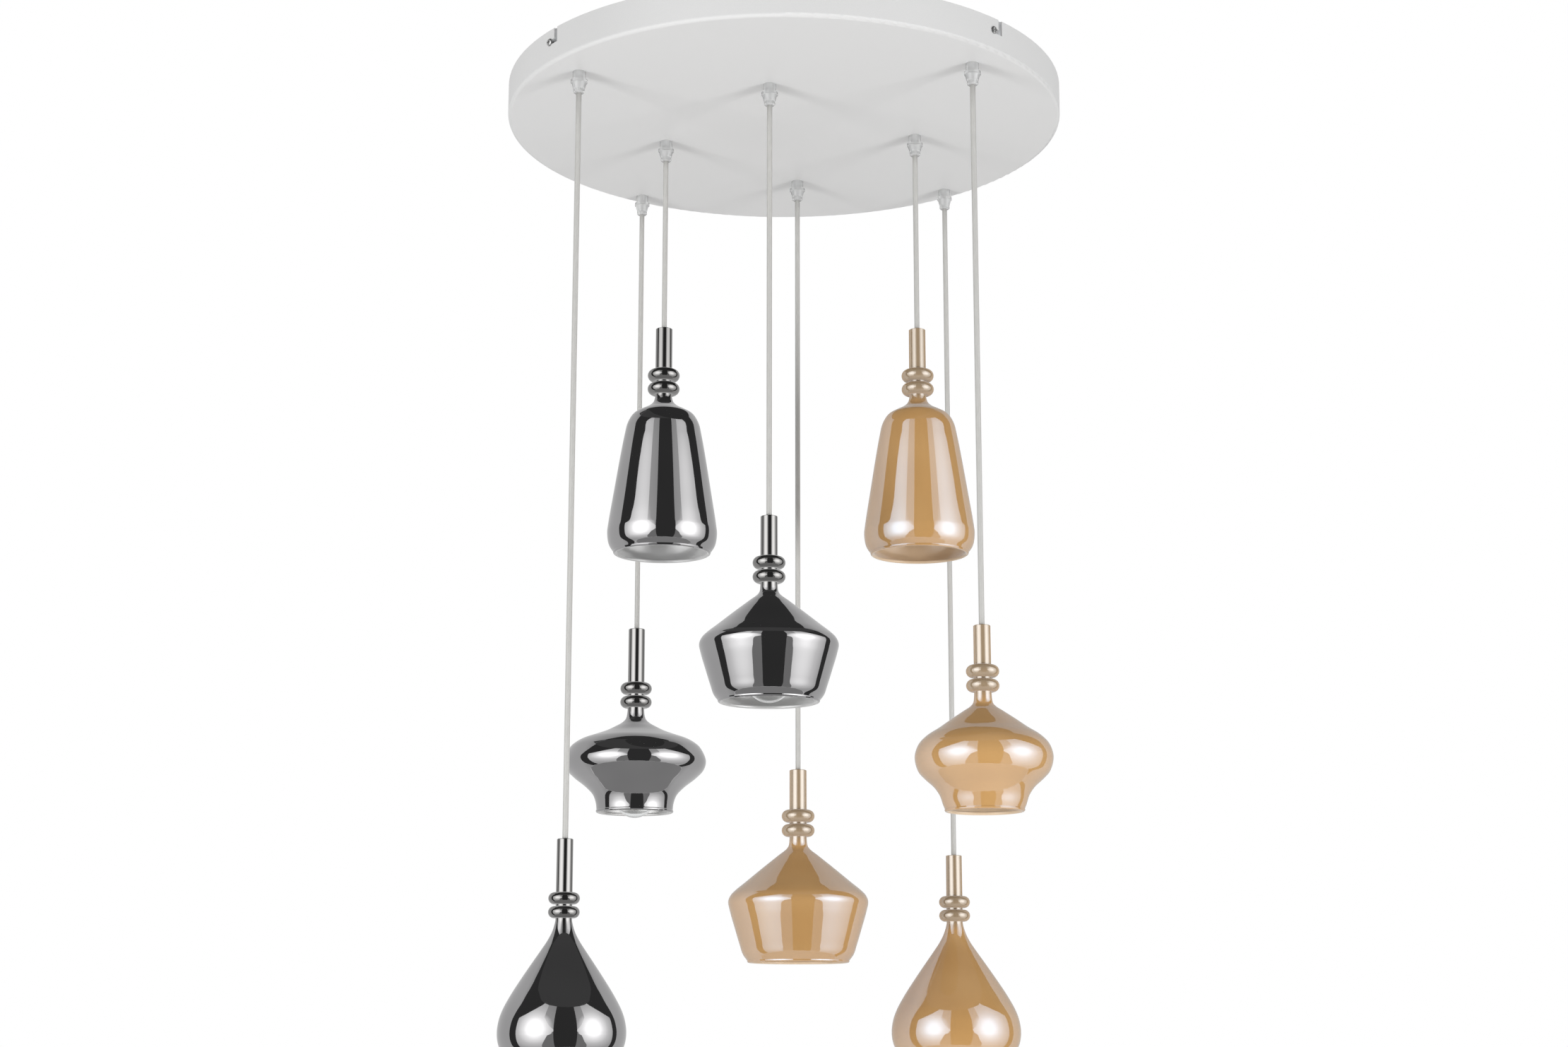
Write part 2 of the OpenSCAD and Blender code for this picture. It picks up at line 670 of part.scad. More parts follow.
module cable(i) {
    color(CABLE_GREY) place_on(i)
        ring_cut(cable_r, neck_z(i) + cap_z(i), grip_exit);
}

module round_bead(r_mid, z_mid, r) {
    rotate_extrude() translate([r_mid, z_mid]) circle(r);
}

module shade(i) {
    line = body_line(i);
    back = inner_line(line);
    tube_top = SIZES[i][5];
    lip_r = glass_wall / 2;
    ring_r = ring_t / 2 * blow(i);
    ring_mid = tube_r(i) + ring_reach * blow(i) - ring_r;
    rim = (line[len(line) - 1] + back[len(back) - 1]) / 2;
    color(TINTS[i]) hang(i) union() {
        rotate_extrude() polygon(concat([[tube_r(i), tube_top - lip_r]], line,
            [for (n = [len(back) - 1 : -1 : 0]) back[n]], [[tube_in(i), tube_top - lip_r]]));
        round_bead(tube_r(i) - lip_r, tube_top - lip_r, lip_r);
        difference() {
            for (up = [ring_up, ring_up + ring_pitch]) round_bead(ring_mid, up * blow(i), ring_r);
            ring_cut(tube_in(i), -ring_t, tube_top);
        }
        round_bead(rim[0], rim[1], rim_t / 2);
    }
}

module seat(i) {
    color(SEAT_GREY) hang(i)
        turned(seat_r(i), stem_d / 2 + screw_hole_clear, -seat_drop - seat_t, -seat_drop);
}

// How far the threaded stem reaches into the holder's cap
stem_lap = 6;
module stem(i) {
    groove = 0.6;
    groove_h = 0.8;
    groove_gap = 0.7;
    low = cap_z(i) - stem_lap;
    collar_z = -seat_drop - seat_t - collar_t;
    color(STEEL) hang(i) difference() {
        union() {
            ring_cut(stem_d / 2, low, stem_up);
            ring_cut(seat_r(i), collar_z, collar_z + collar_t);
        }
        ring_cut(cable_bore_r, low - cut, stem_up + cut);
        for (z = [collar_z - groove_gap - groove_h, stem_up - groove_gap - groove_h])
            turned(stem_d, stem_d / 2 - groove, z, z + groove_h);
    }
}

module holder(i) {
    top = cap_z(i);
    low = top - holder_h;
    shoulder = 3;
    skirt_h = 3;
    skirt_out = 1;
    socket_clear = 0.4;
    mouth_lip = 2;
    color(IVORY) hang(i) difference() {
        union() {
            translate([0, 0, top - shoulder])
                cylinder(d1 = holder_cap_d, d2 = holder_cap_d - shoulder, h = shoulder);
            ring_cut(holder_cap_d / 2, top - holder_cap_h, top - shoulder);
            ring_cut(holder_d / 2, low, top - holder_cap_h);
            ring_cut(holder_d / 2 + skirt_out, low, low + skirt_h);
        }
        ring_cut(stem_d / 2 + screw_hole_clear, top - stem_lap, top + cut);
        ring_cut(bulb_cap_d / 2 + socket_clear, low - cut, low + socket_h);
        ring_cut(holder_d / 2 - mouth_lip, low - cut, low + skirt_h);
    }
}

// Outline of the bulb glass: a ball that runs up into a neck
function bulb_line(r, neck_r, top, low) =
    let (mid = low + r, ball_end = 40, flare = 1.5, flare_h = 4)
    concat(
        [for (a = [-90 : 10 : ball_end]) [r * cos(a), mid + r * sin(a)]],
        [[neck_r + flare, top - flare_h], [neck_r, top]]
    );

module bulb(i) {
    top = cap_z(i) - holder_h;
    low = top - bulb_h;
    r = bulb_d / 2;
    neck_r = bulb_cap_d / 2 - 0.4;
    cap_low = top + 1;
    glass_top = cap_low + 1;
    tip_h = 2;
    mast_r = 2.5;
    mast_h = 14;
    arm_drop = 12;
    hang(i) {
        color(BULB_CLEAR) rotate_extrude() difference() {
            polygon(concat([[0, glass_top], [0, low]], bulb_line(r, neck_r, glass_top, low)));
            polygon(concat([[-cut, glass_top + cut], [-cut, low + bulb_wall]],
                bulb_line(r - bulb_wall, neck_r - bulb_wall, glass_top + cut, low + bulb_wall)));
        }
        color(STEEL) {
            ring_cut(bulb_cap_d / 2, cap_low, cap_low + bulb_cap_h);
            translate([0, 0, cap_low + bulb_cap_h])
                cylinder(d1 = bulb_cap_d, d2 = bulb_cap_d / 2, h = tip_h);
        }
        color(FILAMENT_YELLOW) {
            ring_cut(mast_r, top - mast_h, glass_top);
            for (turn = [45 : 90 : 315]) rotate(turn) filament(top - arm_drop);
        }
    }
}

module filament(top) {
    start = filament_d / 3;
    lean = atan2(filament_spread / 2 - start, filament_h);
    translate([start, 0, top]) rotate([0, 180 - lean, 0]) cylinder(d = filament_d, h = filament_h);
}

module pendant_piece(piece, i) {
    if (piece == "cable") cable(i);
    if (piece == "shade") shade(i);
    if (piece == "seat") seat(i);
    if (piece == "stem") stem(i);
    if (piece == "holder") holder(i);
    if (piece == "bulb") bulb(i);
}

canopy();
mounting_bracket();
side_screws();
junction_box();
junction_lid();
terminal_strips();
cord_grip_bases();
cord_grip_nuts();
lock_nuts();
cable_tails();
earth_lead();
earth_stud();
for (piece = PIECES, i = [0 : len(PENDANTS) - 1])
    pendant_piece(piece, i);
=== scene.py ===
import math

import bmesh
import bpy
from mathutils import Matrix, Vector


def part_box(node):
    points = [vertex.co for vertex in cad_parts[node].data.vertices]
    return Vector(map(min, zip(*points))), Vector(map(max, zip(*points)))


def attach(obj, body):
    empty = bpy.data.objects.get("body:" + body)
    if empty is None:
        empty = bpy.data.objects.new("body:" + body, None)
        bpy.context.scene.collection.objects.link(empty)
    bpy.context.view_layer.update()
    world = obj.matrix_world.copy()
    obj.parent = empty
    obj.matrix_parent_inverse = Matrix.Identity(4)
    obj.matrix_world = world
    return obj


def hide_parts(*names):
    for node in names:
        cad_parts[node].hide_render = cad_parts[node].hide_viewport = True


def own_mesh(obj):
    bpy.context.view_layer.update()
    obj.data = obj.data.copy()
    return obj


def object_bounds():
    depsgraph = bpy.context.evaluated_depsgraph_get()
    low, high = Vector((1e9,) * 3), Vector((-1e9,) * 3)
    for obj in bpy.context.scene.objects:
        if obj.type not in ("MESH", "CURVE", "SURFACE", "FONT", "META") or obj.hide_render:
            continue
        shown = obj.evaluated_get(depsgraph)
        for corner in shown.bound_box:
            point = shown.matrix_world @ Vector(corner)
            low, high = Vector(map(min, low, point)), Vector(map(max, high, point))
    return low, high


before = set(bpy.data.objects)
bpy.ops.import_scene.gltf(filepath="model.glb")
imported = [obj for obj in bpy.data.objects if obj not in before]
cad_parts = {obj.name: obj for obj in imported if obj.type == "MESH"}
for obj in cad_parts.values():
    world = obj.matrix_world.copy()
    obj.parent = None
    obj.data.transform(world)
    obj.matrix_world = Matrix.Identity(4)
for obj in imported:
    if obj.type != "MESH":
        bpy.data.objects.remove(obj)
cad_low, cad_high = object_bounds()

# Sizes in metres, angles in degrees
PENDANTS = [
    "smoke_drop", "amber_onion", "smoke_diamond", "amber_bell",
    "smoke_bell", "amber_diamond", "amber_drop", "smoke_onion",
]
LENS = 56.28
SENSOR_WIDTH = 36
VIEW_REACH = 80
CAMERA_AT = (0, -2.45, -0.979)
CAMERA_PITCH = 11.907
CABLE_DIAMETER = 0.0054
CABLE_EDGE = 0.0003
CABLE_RINGS = 24
BULB_RADIUS = 0.0225
BULB_WALL = 0.0009
BULB_NECK_RADIUS = 0.0064
BULB_LENGTH = 0.05
BULB_FLARE = 0.0015
CAP_RADIUS = 0.0068
CAP_HEIGHT = 0.021
THREAD_TURNS = 6
THREAD_DEPTH = 0.0005
MAST_LENGTH = 0.013
FILAMENTS = 4
FILAMENT_LENGTH = 0.029
FILAMENT_SPREAD = 0.0045
FILAMENT_RADIUS = 0.0008
WIRE_RADIUS = 0.00022
STEM_ABOVE_NECK = 0.012
FLOOR_Z = -2.45
FLOOR_RADIUS = 40
STUDIO_RADIUS = 4.2

# Steps round a turned shape
SHADE_STEPS = 96
BULB_STEPS = 48
THIN_STEPS = 24
STICK_STEPS = 12

# Outline of a shade: bends in degrees, gaps between its points in metres
CORNER_BEND = 24
STRAIGHT_BEND = 0.3
LEAST_GAP = 0.0009
SMOOTH_GAP = 0.0014
MOST_EXTRA_POINTS = 4

# Values of a noise between which its effect runs from none to full
NOISE_SPAN = (0.3, 0.7)
# Heights from the neck between which a shade's tube takes on its own look
NECK_SPAN = (-0.008, 0.002)
# Facing values between which the edge of a shade takes on its deeper look
EDGE_SPAN = (0.35, 0.9)


def box_middle(node):
    """Axis of a node that stands round a vertical line."""
    low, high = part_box(node)
    return Vector(((low.x + high.x) / 2, (low.y + high.y) / 2, 0))


def link(name, mesh, material, at=(0, 0, 0)):
    """A new object in the scene with one more material on its mesh."""
    obj = bpy.data.objects.new(name, mesh)
    obj.location = at
    bpy.context.scene.collection.objects.link(obj)
    mesh.materials.append(material)
    return obj


# Materials
def principled(name, **sockets):
    """A new material and its shader, with uniform values on the shader's own sockets."""
    material = bpy.data.materials.new(name)
    material.use_nodes = True
    shader = material.node_tree.nodes["Principled BSDF"]
    for socket, value in sockets.items():
        shader.inputs[socket.replace("_", " ")].default_value = value
    return material, shader


def grain(material, scale, detail=3.0, stretch=(1, 1, 1)):
    """Noise on the piece's own coordinates, as a share from 0 to 1."""
    nodes, links = material.node_tree.nodes, material.node_tree.links
    place = nodes.new("ShaderNodeTexCoord")
    scaled = nodes.new("ShaderNodeMapping")
    scaled.inputs["Scale"].default_value = stretch
    noise = nodes.new("ShaderNodeTexNoise")
    noise.inputs["Scale"].default_value = scale
    noise.inputs["Detail"].default_value = detail
    links.new(place.outputs["Object"], scaled.inputs["Vector"])
    links.new(scaled.outputs["Vector"], noise.inputs["Vector"])
    return noise.outputs["Fac"]


def tint(material, shader, share, dark, light):
    """Colour that runs from dark to light with the noise."""
    ramp = material.node_tree.nodes.new("ShaderNodeValToRGB")
    for end, position, colour in zip(ramp.color_ramp.elements, NOISE_SPAN, (dark, light)):
        end.position = position
        end.color = (*colour, 1)
    material.node_tree.links.new(share, ramp.inputs["Fac"])
    material.node_tree.links.new(ramp.outputs["Color"], shader.inputs["Base Color"])


def vary(material, shader, share, socket, low, high):
    """A value that runs from low to high with the noise."""
    span = material.node_tree.nodes.new("ShaderNodeMapRange")
    span.inputs["From Min"].default_value = NOISE_SPAN[0]
    span.inputs["From Max"].default_value = NOISE_SPAN[1]
    span.inputs["To Min"].default_value = low
    span.inputs["To Max"].default_value = high
    material.node_tree.links.new(share, span.inputs["Value"])
    material.node_tree.links.new(span.outputs["Result"], shader.inputs[socket])


def relief(material, shader, share, depth):
    """Fine unevenness of a surface, depth in metres."""
    bump = material.node_tree.nodes.new("ShaderNodeBump")
    bump.inputs["Strength"].default_value = 1.0
    bump.inputs["Distance"].default_value = depth
    material.node_tree.links.new(share, bump.inputs["Height"])
    material.node_tree.links.new(bump.outputs["Normal"], shader.inputs["Normal"])


def plain_material(name, dark, light, rough, scale, depth, stretch=(1, 1, 1), **sockets):
    """Painted, moulded or rolled surface: colour, gloss and relief from one fine noise."""
    material, shader = principled(name, **sockets)
    share = grain(material, scale, 4.0, stretch)
    tint(material, shader, share, dark, light)
    vary(material, shader, share, "Roughness", rough[0], rough[1])
    relief(material, shader, share, depth)
    return material


def glass_material(name, dark, light, rough, wave, **sockets):
    """Blown glass with a metal lustre: slow waves in the wall and a slight change of tone."""
    material, shader = principled(name, **sockets)
    slow = grain(material, 22, 0.0)
    tint(material, shader, slow, dark, light)
    fine = grain(material, 260, 2.0)
    vary(material, shader, fine, "Roughness", rough[0], rough[1])
    relief(material, shader, slow, wave)
    return material


def tube_look(material, **looks):
    """Other values above the neck, where the piece's own height is zero.

    Each look is (value of the body or None for what the socket has linked, value of the tube).
    """
    nodes, links = material.node_tree.nodes, material.node_tree.links
    shader = nodes["Principled BSDF"]
    place = nodes.new("ShaderNodeTexCoord")
    split = nodes.new("ShaderNodeSeparateXYZ")
    above = nodes.new("ShaderNodeMapRange")
    above.inputs["From Min"].default_value = NECK_SPAN[0]
    above.inputs["From Max"].default_value = NECK_SPAN[1]
    links.new(place.outputs["Object"], split.inputs["Vector"])
    links.new(split.outputs["Z"], above.inputs["Value"])
    for name, (body, tube) in looks.items():
        socket = shader.inputs[name.replace("_", " ")]
        mix = nodes.new("ShaderNodeMix")
        coloured = isinstance(tube, tuple)
        mix.data_type = "RGBA" if coloured else "FLOAT"
        sockets = {i.name: i for i in mix.inputs if i.enabled}
        out = next(o for o in mix.outputs if o.enabled)
        links.new(above.outputs["Result"], sockets["Factor"])
        sockets["B"].default_value = (*tube, 1) if coloured else tube
        if body is None:
            links.new(socket.links[0].from_socket, sockets["A"])
        else:
            sockets["A"].default_value = (*body, 1) if coloured else body
        links.new(out, socket)


def deepen(material, colour, ior):
    """Colour and index that the glass takes on where it is seen edge-on, through more of it."""
    nodes, links = material.node_tree.nodes, material.node_tree.links
    shader = nodes["Principled BSDF"]
    weight = nodes.new("ShaderNodeLayerWeight")
    share = nodes.new("ShaderNodeMapRange")
    share.inputs["From Min"].default_value = EDGE_SPAN[0]
    share.inputs["From Max"].default_value = EDGE_SPAN[1]
    links.new(weight.outputs["Facing"], share.inputs["Value"])
    mix = nodes.new("ShaderNodeMix")
    mix.data_type = "RGBA"
    sockets = {i.name: i for i in mix.inputs if i.enabled}
    out = next(o for o in mix.outputs if o.enabled)
    links.new(share.outputs["Result"], sockets["Factor"])
    links.new(shader.inputs["Base Color"].links[0].from_socket, sockets["A"])
    sockets["B"].default_value = (*colour, 1)
    links.new(out, shader.inputs["Base Color"])
    index = nodes.new("ShaderNodeMapRange")
    index.inputs["To Min"].default_value = shader.inputs["IOR"].default_value
    index.inputs["To Max"].default_value = ior
    links.new(share.outputs["Result"], index.inputs["Value"])
    links.new(index.outputs["Result"], shader.inputs["IOR"])


powder_white = plain_material(
    "powder_white", (0.74, 0.74, 0.74), (0.78, 0.78, 0.775), (0.42, 0.52), 1600, 0.00002)
zinc = plain_material(
    "galvanised_zinc", (0.46, 0.47, 0.48), (0.66, 0.67, 0.68), (0.28, 0.46), 140, 0.00004,
    Metallic=1.0)
turned_steel = plain_material(
    "turned_steel", (0.55, 0.55, 0.55), (0.68, 0.68, 0.67), (0.2, 0.34), 700, 0.00002,
    (1, 1, 12), Metallic=1.0)
box_plastic = plain_material(
    "box_plastic", (0.7, 0.7, 0.69), (0.76, 0.76, 0.75), (0.35, 0.45), 500, 0.00002)
terminal_plastic = plain_material(
    "terminal_plastic", (0.78, 0.74, 0.66), (0.84, 0.8, 0.72), (0.3, 0.4), 500, 0.00002)
clear_plastic = plain_material(
    "clear_plastic", (0.9, 0.91, 0.91), (0.96, 0.96, 0.96), (0.06, 0.14), 300, 0.00002,
    Transmission_Weight=0.55, IOR=1.49)
cable_jacket = plain_material(
    "cable_jacket", (0.53, 0.525, 0.505), (0.58, 0.575, 0.555), (0.36, 0.46), 420, 0.00001,
    (1, 1, 0.2), Coat_Weight=0.15, Coat_Roughness=0.2)
earth_plastic = plain_material(
    "earth_plastic", (0.09, 0.3, 0.05), (0.16, 0.42, 0.08), (0.35, 0.45), 400, 0.00002)
seat_rubber = plain_material(
    "seat_rubber", (0.05, 0.05, 0.05), (0.09, 0.09, 0.088), (0.6, 0.75), 600, 0.00003)
holder_plastic = plain_material(
    "holder_plastic", (0.78, 0.75, 0.7), (0.84, 0.81, 0.76), (0.3, 0.42), 500, 0.00002)
cap_metal = plain_material(
    "cap_metal", (0.62, 0.6, 0.55), (0.74, 0.72, 0.66), (0.22, 0.36), 500, 0.00002, Metallic=1.0)
filament_coat = plain_material(
    "filament_coat", (0.85, 0.42, 0.08), (0.95, 0.58, 0.16), (0.45, 0.6), 900, 0.00004)
smoke_glass = glass_material(
    "smoke_glass", (0.43, 0.425, 0.43), (0.46, 0.455, 0.46), (0.02, 0.05), 0.0002, Metallic=1.0)
# Inside of the smoke glass: a lighter, partly matt grey. This is painted light that stands in for
# the white behind, seen through the far wall.
smoke_inside_painted_light = glass_material(
    "smoke_inside_painted_light", (0.6, 0.6, 0.6), (0.65, 0.65, 0.645), (0.2, 0.26), 0.0002, Metallic=0.3)
tube_look(smoke_glass, Base_Color=(None, (0.3, 0.295, 0.29)))
amber_glass = glass_material(
    "amber_glass", (0.84, 0.47, 0.16), (0.9, 0.52, 0.19), (0.02, 0.05), 0.0002, IOR=4.8)
tube_look(
    amber_glass, Base_Color=(None, (0.5, 0.37, 0.235)), Transmission_Weight=(0.12, 0.2),
    Specular_Tint=((0.45, 0.62, 0.8), (0.56, 0.55, 0.53)))
deepen(amber_glass, (0.62, 0.4, 0.2), 2.4)
# Inside of the amber glass: a paler amber. This is painted light that stands in for the white
# behind, seen through the far wall.
amber_inside_painted_light = glass_material(
    "amber_inside_painted_light", (0.7, 0.53, 0.36), (0.76, 0.58, 0.4), (0.15, 0.2), 0.0002, IOR=1.7)
bulb_glass = glass_material(
    "bulb_glass", (0.95, 0.96, 0.96), (0.99, 0.99, 0.99), (0.0, 0.02), 0.0001,
    Transmission_Weight=1.0, IOR=1.45)


# Camera at the photograph's angle
camera_data = bpy.data.cameras.new("camera")
camera_data.lens = LENS
camera_data.sensor_width = SENSOR_WIDTH
camera_data.clip_end = VIEW_REACH
camera = bpy.data.objects.new("camera", camera_data)
camera.location = CAMERA_AT
camera.rotation_euler = (math.radians(90 + CAMERA_PITCH), 0, 0)
bpy.context.scene.collection.objects.link(camera)
bpy.context.scene.camera = camera


# Turned shapes
def turned_mesh(name, line, sharp=(), steps=SHADE_STEPS, closed=True, inner_from=None):
    """Turns a line of (radius, height) about the vertical.

    Rings whose numbers are in sharp keep a hard edge, and the faces from the ring inner_from on
    get the second material. A closed line comes back to its first point.
    """
    bm = bmesh.new()
    rings = []
    for radius, height in line:
        if radius < 1e-6:
            rings.append([bm.verts.new((0, 0, height))] * steps)
            continue
        rings.append([
            bm.verts.new((radius * math.cos(a), radius * math.sin(a), height))
            for a in (2 * math.pi * (k + 0.5) / steps for k in range(steps))
        ])
    spans = len(rings) if closed else len(rings) - 1
    for n in range(spans):
        this, after = rings[n], rings[(n + 1) % len(rings)]
        for k in range(steps):
            corners = [this[k], this[(k + 1) % steps], after[(k + 1) % steps], after[k]]
            face = bm.faces.new(list(dict.fromkeys(corners)))
            face.smooth = True
            if inner_from is not None and n >= inner_from:
                face.material_index = 1
    bmesh.ops.recalc_face_normals(bm, faces=bm.faces)
    for n in sharp:
        ring = set(rings[n])
        for edge in {e for v in ring for e in v.link_edges}:
            if edge.verts[0] in ring and edge.verts[1] in ring:
                edge.smooth = False
    mesh = bpy.data.meshes.new(name)
    bm.to_mesh(mesh)
    bm.free()
    return mesh


def seam_line(node):
    """Outline of a turned CAD node as (radius, height), walked round along its seam."""
    axis = box_middle(node)
    bm = bmesh.new()
    bm.from_mesh(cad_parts[node].data)
    bmesh.ops.remove_doubles(bm, verts=bm.verts, dist=2e-6)
    seam = {v for v in bm.verts if abs(v.co.y - axis.y) < 3e-6 and v.co.x > axis.x}
    vert = max(seam, key=lambda v: v.co.z)
    walked = [vert]
    left = seam - {vert}
    while True:
        beside = [e.other_vert(vert) for e in vert.link_edges if e.other_vert(vert) in left]
        if not beside:
            break
        vert = max(beside, key=lambda v: v.co.x) if len(walked) == 1 else beside[0]
        walked.append(vert)
        left.discard(vert)
    line = [(v.co.x - axis.x, v.co.z) for v in walked]
    bm.free()
    return line


def bend_at(line, n):
    """Change of direction at a point of a closed line, in degrees."""
    before, here, after = (Vector(line[(n + k) % len(line)]) for k in (-1, 0, 1))
    return math.degrees(abs((here - before).angle_signed(after - here)))


def thinned(line, gap):
    """Leaves out points that stand closer than gap to the last one kept, apart from corners."""
    kept = [line[0]]
    for n in range(1, len(line)):
        corner = bend_at(line, n) > CORNER_BEND
        if corner or (Vector(line[n]) - Vector(kept[-1])).length >= gap:
            kept.append(line[n])
    return kept


def between(p0, p1, p2, p3, share):
    """Centripetal curve from p1 to p2."""
    t1 = math.sqrt((p1 - p0).length)
    t2 = t1 + math.sqrt((p2 - p1).length)
    t3 = t2 + math.sqrt((p3 - p2).length)
    t = t1 + share * (t2 - t1)
    a1 = p0 * ((t1 - t) / t1) + p1 * (t / t1)
    a2 = p1 * ((t2 - t) / (t2 - t1)) + p2 * ((t - t1) / (t2 - t1))
    a3 = p2 * ((t3 - t) / (t3 - t2)) + p3 * ((t - t2) / (t3 - t2))
    b1 = a1 * ((t2 - t) / t2) + a2 * (t / t2)
    b2 = a2 * ((t3 - t) / (t3 - t1)) + a3 * ((t - t1) / (t3 - t1))
    return b1 * ((t2 - t) / (t2 - t1)) + b2 * ((t - t1) / (t2 - t1))


def smoothed(line, gap):
    """The closed line with points put in on a smooth curve, and the numbers of its corners."""
    count = len(line)
    bends = [bend_at(line, n) for n in range(count)]
    points, corners = [], []
    for n in range(count):
        p0, p1, p2, p3 = (Vector(line[(n + k) % count]) for k in (-1, 0, 1, 2))
        if bends[n] > CORNER_BEND:
            corners.append(len(points))
            p0 = p1 * 2 - p2
        if bends[(n + 1) % count] > CORNER_BEND:
            p3 = p2 * 2 - p1
        points.append(p1)
        straight = min(bends[n], bends[(n + 1) % count]) < STRAIGHT_BEND
        extra = 0 if straight else min(MOST_EXTRA_POINTS, int((p2 - p1).length / gap))
        for k in range(extra):
            points.append(between(p0, p1, p2, p3, (k + 1) / (extra + 1)))
    return [tuple(p) for p in points], corners


# Cables: clear round cable from the mouth of its grip down to the lamp holder
def cable(name):
    node = f"cable_{name}"
    low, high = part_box(node)
    axis = box_middle(node)
    heights = [
        high.z + (low.z - high.z) * n / (CABLE_RINGS - 1) for n in range(CABLE_RINGS)]
    radius = CABLE_DIAMETER / 2
    sides = [(radius, z) for z in heights]
    sides[0] = (radius, heights[0] - CABLE_EDGE)
    sides[-1] = (radius, low.z + CABLE_EDGE)
    line = [(0, heights[0]), (radius - CABLE_EDGE, heights[0])]
    line += sides
    line += [(radius - CABLE_EDGE, low.z), (0, low.z)]
    mesh = turned_mesh(f"cord_{name}", line, (1, len(line) - 2), THIN_STEPS, False)
    piece = link(f"cord_{name}", mesh, cable_jacket, (axis.x, axis.y, 0))
    piece.visible_glossy = False
    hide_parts(node)
    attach(piece, f"hang_{name}")
    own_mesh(piece)


for name in PENDANTS:
    cable(name)


# Shades: blown glass with tube, rings, body and fire-polished rim
def shade(name):
    node = f"shade_{name}"
    seam = seam_line(node)
    widest = max(radius for radius, _ in seam)
    line, corners = smoothed(thinned(seam, LEAST_GAP), SMOOTH_GAP)
    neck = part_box(f"stem_{name}")[1].z - STEM_ABOVE_NECK
    line = [(min(radius, widest), height - neck) for radius, height in line]
    rim = min(range(len(line)), key=lambda n: line[n][1])
    axis = box_middle(node)
    smoke = name.startswith("smoke")
    piece = link(
        f"glass_{name}", turned_mesh(f"glass_{name}", line, corners, inner_from=rim),
        smoke_glass if smoke else amber_glass, (axis.x, axis.y, neck))
    # The inner faces get the lighter inside glass: painted light for the white seen through the
    # far wall.
    piece.data.materials.append(smoke_inside_painted_light if smoke else amber_inside_painted_light)
    piece.visible_glossy = False
    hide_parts(node)
    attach(piece, f"pendant_{name}")


for name in PENDANTS:
    shade(name)


# Bulbs: clear ball with a screw cap, a glass mast and four coated filament sticks
def arc(radius, middle, start, end, step):
    """Points (radius, height) of an arc round the height middle, angles in degrees."""
    count = max(2, int(abs(end - start) / step))
    turns = [math.radians(start + (end - start) * n / count) for n in range(count + 1)]
    return [(radius * math.cos(a), middle + radius * math.sin(a)) for a in turns]


def bulb_envelope(low):
    """Outer and inner line of the bulb's glass."""
    middle = low + BULB_RADIUS
    top = low + BULB_LENGTH
    sides = []
    for inset in (0, BULB_WALL):
        ball = arc(BULB_RADIUS - inset, middle, -90, 44, 6)
        ball[0] = (0, ball[0][1])
        neck = BULB_NECK_RADIUS - inset
        last = Vector(ball[-1])
        turn = Vector((neck + BULB_FLARE, top - 0.005))
        sides.append(ball + [tuple(last.lerp(turn, k / 4)) for k in (1, 2, 3)]
                     + [tuple(turn), (neck + BULB_FLARE * 0.35, top - 0.002), (neck, top)])
    return sides[0] + sides[1][::-1]


def bulb_cap(top):
    """Screw cap: a threaded sleeve, a narrow ring and the contact at its tip."""
    points = 6
    line = [(CAP_RADIUS - 0.0008, top)]
    for n in range(THREAD_TURNS * points + 1):
        share = n / (THREAD_TURNS * points)
        wave = math.cos(n / points * 2 * math.pi)
        line.append((
            CAP_RADIUS - THREAD_DEPTH + THREAD_DEPTH * wave,
            top + 0.0012 + share * (CAP_HEIGHT - 0.004)))
    line += [(CAP_RADIUS * 0.8, top + CAP_HEIGHT - 0.001), (CAP_RADIUS * 0.45, top + CAP_HEIGHT),
             (CAP_RADIUS * 0.4, top + CAP_HEIGHT + 0.0012), (0, top + CAP_HEIGHT + 0.0018)]
    return line


def stick(bm, start, end, radius):
    """A round stick with domed ends between two points."""
    along = Vector(end) - Vector(start)
    turn = along.to_track_quat("Z", "Y").to_matrix()
    shape = [(0.0, 0.0), (0.6, 0.25), (1.0, 1.0)]
    stations = [(r, s * radius) for r, s in shape]
    stations += [(r, along.length - s * radius) for r, s in shape[::-1]]
    rings = []
    for share, z in stations:
        ring = [
            bm.verts.new(Vector(start) + turn @ Vector((
                radius * share * math.cos(2 * math.pi * k / STICK_STEPS),
                radius * share * math.sin(2 * math.pi * k / STICK_STEPS), z)))
            for k in range(STICK_STEPS if share else 1)
        ]
        rings.append(ring)
    for this, after in zip(rings, rings[1:]):
        for k in range(STICK_STEPS):
            corners = [this[k % len(this)], this[(k + 1) % len(this)],
                       after[(k + 1) % len(after)], after[k % len(after)]]
            bm.faces.new(list(dict.fromkeys(corners))).smooth = True


def sticks_mesh(name, ends, radius):
    """One mesh of round sticks, ends is a list of (start, end)."""
    bm = bmesh.new()
    for start, end in ends:
        stick(bm, start, end, radius)
    bmesh.ops.recalc_face_normals(bm, faces=bm.faces)
    mesh = bpy.data.meshes.new(name)
    bm.to_mesh(mesh)
    bm.free()
    return mesh


